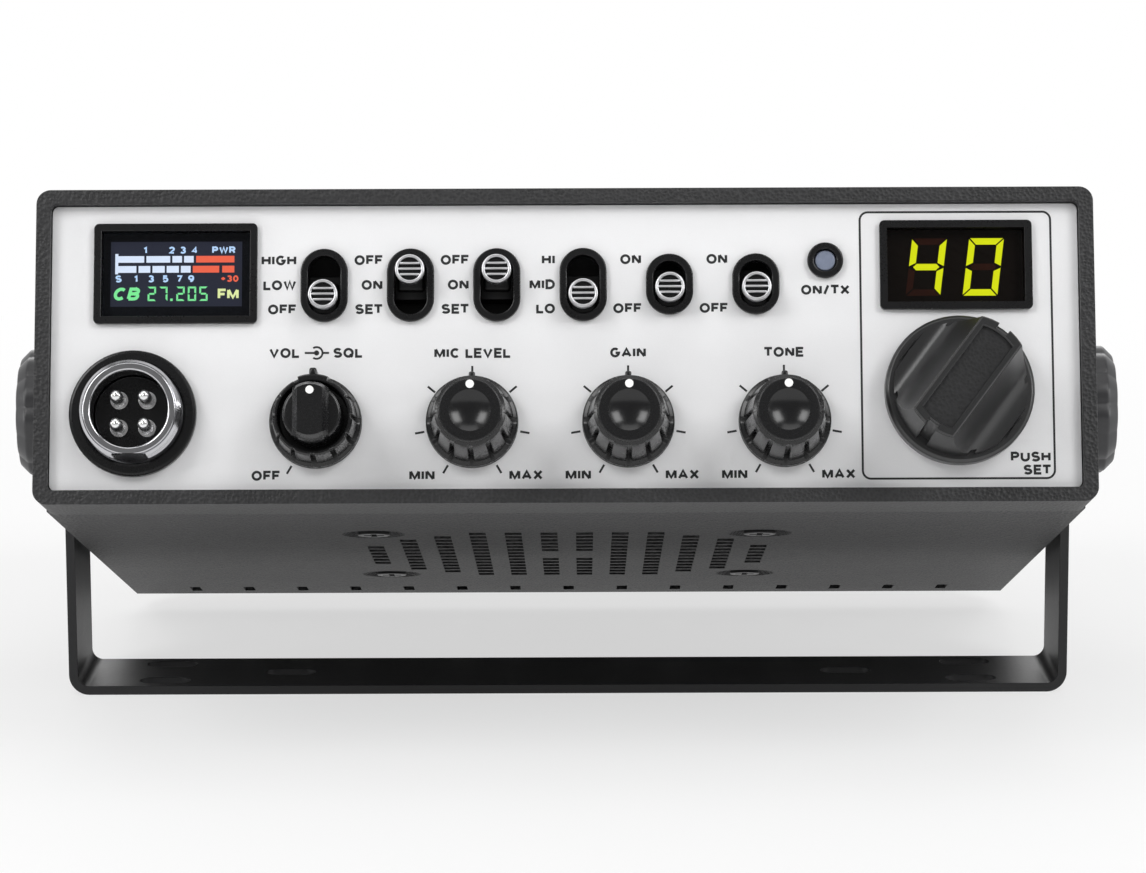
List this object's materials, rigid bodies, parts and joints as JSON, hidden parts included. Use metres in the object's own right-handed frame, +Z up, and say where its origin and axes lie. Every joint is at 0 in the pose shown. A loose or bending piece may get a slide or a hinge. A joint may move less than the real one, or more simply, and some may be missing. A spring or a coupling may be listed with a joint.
{
  "type": "cb radio",
  "caption": "Mobile CB radio in a slim metal case with knobs, slide switches, two displays and a microphone socket, tilting on a table bracket.",
  "frame": {"origin": "middle of the bracket's base, on the surface that it stands on", "axes": "+Z up, +X to the right as seen from the front, -Y towards the viewer; at rest the radio is tilted nose up by 17.5 degrees"},
  "size_m": [0.1958, 0.1714, 0.0959],
  "materials": {
    "bracket_paint": "black satin powder coat",
    "frame_plastic": "charcoal plastic with fine leather grain",
    "plate_paint": "light silver-white satin paint on aluminium",
    "cover_paint": "dark charcoal textured paint",
    "chassis_steel": "zinc plated sheet steel",
    "heat_sink": "dark anodised aluminium",
    "circuit_board": "green solder mask",
    "black_plastic": "black moulded plastic",
    "knob_plastic": "black plastic, satin with polished tops",
    "meter_glass": "clear window",
    "channel_glass": "smoked window",
    "meter_screen": "dark blue colour screen",
    "channel_leds": "black digit module with yellow-green bars",
    "light_lens": "clear grey-blue lens",
    "socket_metal": "bright nickel plate",
    "pin_metal": "bright silver plate",
    "lever_metal": "bright plated lever caps",
    "shaft_metal": "bare aluminium",
    "control_metal": "pressed metal control cases",
    "brass_contact": "brass",
    "speaker_steel": "black pressed steel basket",
    "speaker_paper": "dark pressed paper",
    "magnet_ferrite": "dark ferrite",
    "screw_black": "black oxide screws",
    "screw_zinc": "zinc plated screws",
    "inlet_nylon": "natural nylon",
    "component_black": "black epoxy",
    "component_blue": "blue sleeve",
    "rubber": "black rubber",
    "washer_steel": "zinc plated steel"
  },
  "bodies": {
    "bracket": {"mounting_bracket": "bracket_paint"},
    "radio": {"front_frame": "frame_plastic", "face_plate": "plate_paint", "chassis": "chassis_steel", "top_cover": "cover_paint", "bottom_cover": "cover_paint", "rear_heat_sink": "heat_sink", "front_circuit_board": "circuit_board", "main_circuit_board": "circuit_board", "meter_bezel": "black_plastic", "meter_window": "meter_glass", "meter_display": "meter_screen", "channel_bezel": "black_plastic", "channel_window": "channel_glass", "channel_display": "channel_leds", "status_light_ring": "black_plastic", "status_light": "light_lens", "mic_socket_ring": "black_plastic", "mic_socket_shell": "socket_metal", "mic_socket_insulator": "black_plastic", "mic_socket_pins": "pin_metal", "switch_bezels": "black_plastic", "switch_bodies": "black_plastic", "potentiometers": "control_metal", "channel_encoder": "control_metal", "speaker_frame": "speaker_steel", "speaker_cone": "speaker_paper", "speaker_magnet": "magnet_ferrite", "speaker_screws": "screw_black", "antenna_socket": "socket_metal", "power_inlet": "inlet_nylon", "speaker_jacks": "black_plastic", "case_screws": "screw_black", "board_screws": "screw_zinc", "power_transistors": "component_black", "capacitors": "component_blue", "rubber_washers": "rubber"},
    "switch_1": {"switch_1_lever": "lever_metal"},
    "switch_2": {"switch_2_lever": "lever_metal"},
    "switch_3": {"switch_3_lever": "lever_metal"},
    "switch_4": {"switch_4_lever": "lever_metal"},
    "switch_5": {"switch_5_lever": "lever_metal"},
    "switch_6": {"switch_6_lever": "lever_metal"},
    "volume": {"volume_knob": "knob_plastic", "volume_shaft": "shaft_metal"},
    "squelch": {"squelch_knob": "knob_plastic", "squelch_shaft": "shaft_metal"},
    "mic_gain": {"mic_gain_knob": "knob_plastic", "mic_gain_shaft": "shaft_metal"},
    "rf_gain": {"rf_gain_knob": "knob_plastic", "rf_gain_shaft": "shaft_metal"},
    "tone": {"tone_knob": "knob_plastic", "tone_shaft": "shaft_metal"},
    "channel_rotor": {"encoder_rotor": "brass_contact"},
    "channel": {"channel_knob": "knob_plastic", "channel_shaft": "shaft_metal"},
    "left_washer": {"left_clamp_washer": "washer_steel"},
    "left_thumb": {"left_thumbscrew": "black_plastic"},
    "right_washer": {"right_clamp_washer": "washer_steel"},
    "right_thumb": {"right_thumbscrew": "black_plastic"}
  },
  "joints": [
    {"name": "radio_tilt", "type": "hinge", "parent": "bracket", "child": "radio", "pos_m": [0, 0, 0.049], "axis": [-1, 0, 0], "range_deg": [-35, 1.5]},
    {"name": "switch_1_slide", "type": "slide", "parent": "radio", "child": "switch_1", "axis": [0, 0.3007, 0.9537], "range_m": [0, 0.004]},
    {"name": "switch_2_slide", "type": "slide", "parent": "radio", "child": "switch_2", "axis": [0, 0.3007, 0.9537], "range_m": [-0.004, 0]},
    {"name": "switch_3_slide", "type": "slide", "parent": "radio", "child": "switch_3", "axis": [0, 0.3007, 0.9537], "range_m": [-0.004, 0]},
    {"name": "switch_4_slide", "type": "slide", "parent": "radio", "child": "switch_4", "axis": [0, 0.3007, 0.9537], "range_m": [0, 0.004]},
    {"name": "switch_5_slide", "type": "slide", "parent": "radio", "child": "switch_5", "axis": [0, 0.3007, 0.9537], "range_m": [0, 0.002]},
    {"name": "switch_6_slide", "type": "slide", "parent": "radio", "child": "switch_6", "axis": [0, 0.3007, 0.9537], "range_m": [0, 0.002]},
    {"name": "volume_turn", "type": "hinge", "parent": "radio", "child": "volume", "pos_m": [-0.0399, -0.08098, 0.06153], "axis": [0, -0.9537, 0.3007], "range_deg": [-150, 150]},
    {"name": "mic_gain_turn", "type": "hinge", "parent": "radio", "child": "mic_gain", "pos_m": [-0.0149, -0.08098, 0.06153], "axis": [0, -0.9537, 0.3007], "range_deg": [-150, 150]},
    {"name": "rf_gain_turn", "type": "hinge", "parent": "radio", "child": "rf_gain", "pos_m": [0.0101, -0.08098, 0.06153], "axis": [0, -0.9537, 0.3007], "range_deg": [-150, 150]},
    {"name": "tone_turn", "type": "hinge", "parent": "radio", "child": "tone", "pos_m": [0.0351, -0.08098, 0.06153], "axis": [0, -0.9537, 0.3007], "range_deg": [-150, 150]},
    {"name": "squelch_turn", "type": "hinge", "parent": "radio", "child": "squelch", "pos_m": [-0.0399, -0.07716, 0.06033], "axis": [0, -0.9537, 0.3007], "range_deg": [-150, 150]},
    {"name": "channel_turn", "type": "hinge", "parent": "radio", "child": "channel_rotor", "pos_m": [0.0629, -0.0796, 0.06592], "axis": [0, -0.9537, 0.3007], "continuous": true},
    {"name": "channel_push", "type": "slide", "parent": "channel_rotor", "child": "channel", "axis": [0, 0.9537, -0.3007], "range_m": [0, 0.0008], "stiffness_N_per_m": 3000, "springref_m": -0.0004},
    {"name": "left_washer_slide", "type": "slide", "parent": "radio", "child": "left_washer", "axis": [-1, 0, 0], "range_m": [0, 0.0024]},
    {"name": "left_thumb_turn", "type": "hinge", "parent": "left_washer", "child": "left_thumb", "pos_m": [-0.09, 0, 0.049], "axis": [-1, 0, 0], "range_deg": [0, 1080]},
    {"name": "right_washer_slide", "type": "slide", "parent": "radio", "child": "right_washer", "axis": [1, 0, 0], "range_m": [0, 0.0024]},
    {"name": "right_thumb_turn", "type": "hinge", "parent": "right_washer", "child": "right_thumb", "pos_m": [0.09, 0, 0.049], "axis": [1, 0, 0], "range_deg": [0, 1080]}
  ],
  "couplings": [
    {"joint": "left_washer_slide", "follows": "left_thumb_turn", "m_per_rad": 0.00012732},
    {"joint": "right_washer_slide", "follows": "right_thumb_turn", "m_per_rad": 0.00012732}
  ]
}
